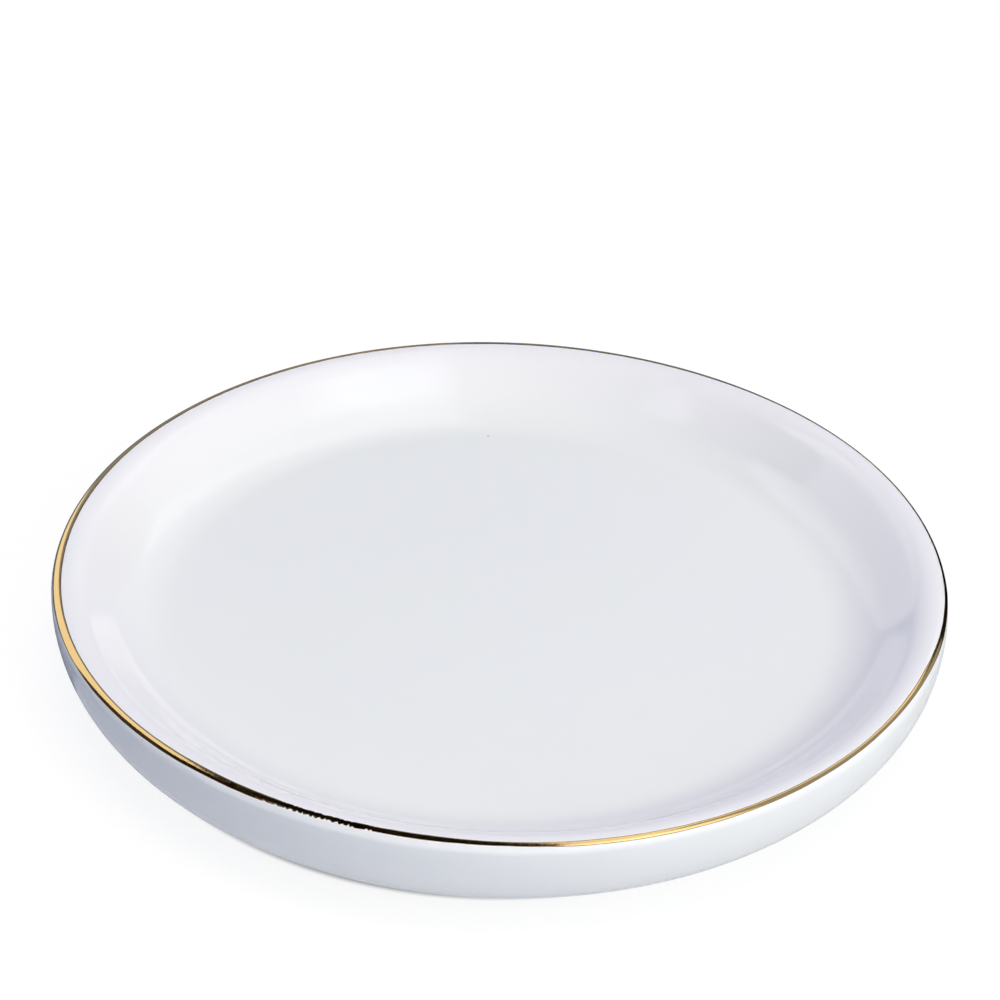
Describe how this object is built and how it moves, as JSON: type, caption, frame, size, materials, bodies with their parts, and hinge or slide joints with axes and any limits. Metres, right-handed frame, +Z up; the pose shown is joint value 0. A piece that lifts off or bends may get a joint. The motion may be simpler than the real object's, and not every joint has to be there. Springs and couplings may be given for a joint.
{
  "type": "ring dish",
  "caption": "Round low dish for rings: flat floor, shallow cove and wall that flare out to a rounded lip with a gold line on it, rounded heel and a low bare foot ring.",
  "frame": {"origin": "middle of the circle that the foot ring stands on, on the table's surface", "axes": "+Z up along the dish's axis of revolution; the picture is taken from the -Y side"},
  "size_m": [0.1, 0.1, 0.0129],
  "materials": {
    "porcelain": "matte",
    "white_glaze": "gloss",
    "gold": "polished"
  },
  "bodies": {
    "root": {"porcelain_body": "porcelain", "glaze_coat": "white_glaze", "foot_recess_glaze": "white_glaze", "gold_band": "gold"}
  },
  "joints": []
}
